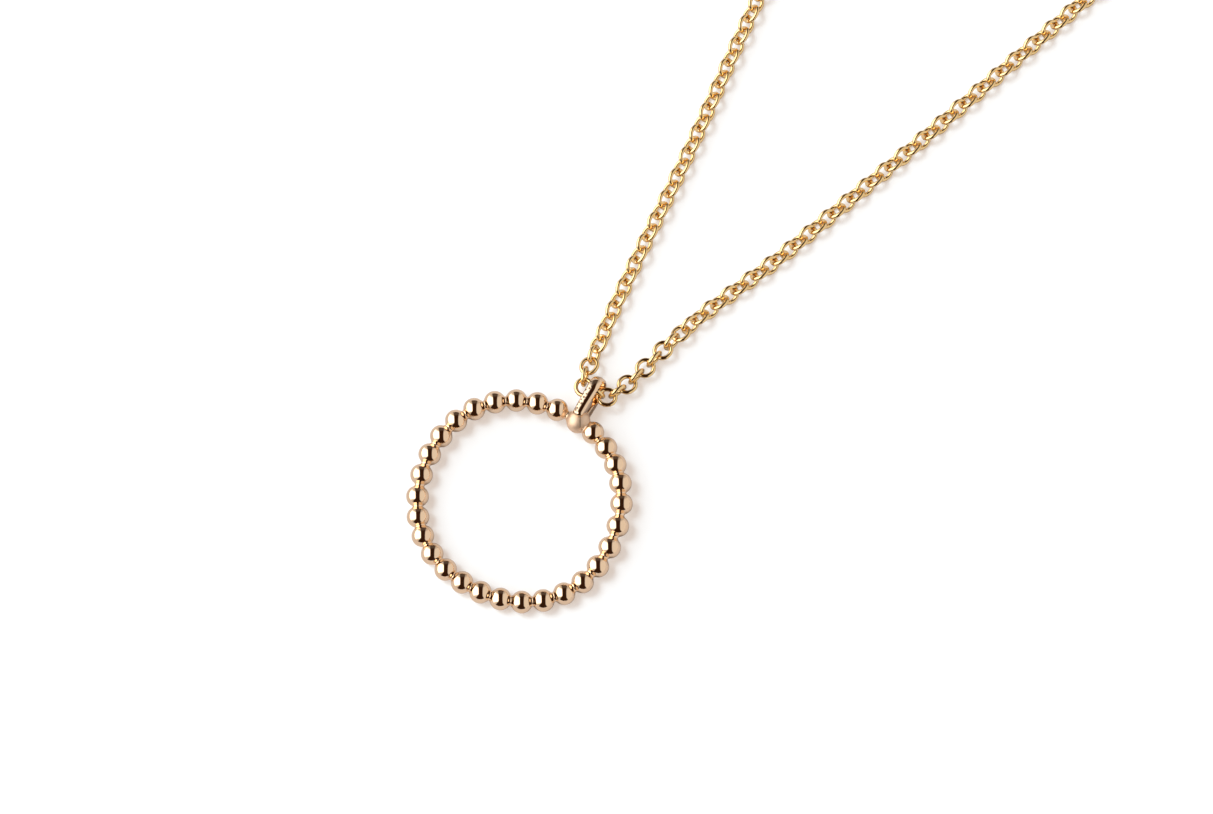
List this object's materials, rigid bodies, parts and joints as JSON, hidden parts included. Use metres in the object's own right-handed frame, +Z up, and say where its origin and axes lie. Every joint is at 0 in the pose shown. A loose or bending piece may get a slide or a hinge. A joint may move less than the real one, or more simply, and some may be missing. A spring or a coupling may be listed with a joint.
{
  "type": "beaded circle pendant necklace",
  "caption": "Gold necklace with an open beaded circle pendant on a cast bail, hung on a fine cable chain and laid on a surface with its strands spread.",
  "frame": {"origin": "on the surface that the necklace lies on, under the middle of its box", "axes": "+Y from the pendant to the clasp, along the line between the two strands; +Z up from the surface, towards the pendant's front; +X to the right of someone who looks down at the front with the clasp at the top"},
  "size_m": [0.0698, 0.2056, 0.003],
  "materials": {
    "pendant_gold": "polished champagne gold",
    "chain_gold": "polished yellow gold"
  },
  "bodies": {
    "root": {"pendant": "pendant_gold", "chain_front": "chain_gold", "chain_back": "chain_gold", "clasp": "chain_gold"}
  },
  "joints": []
}
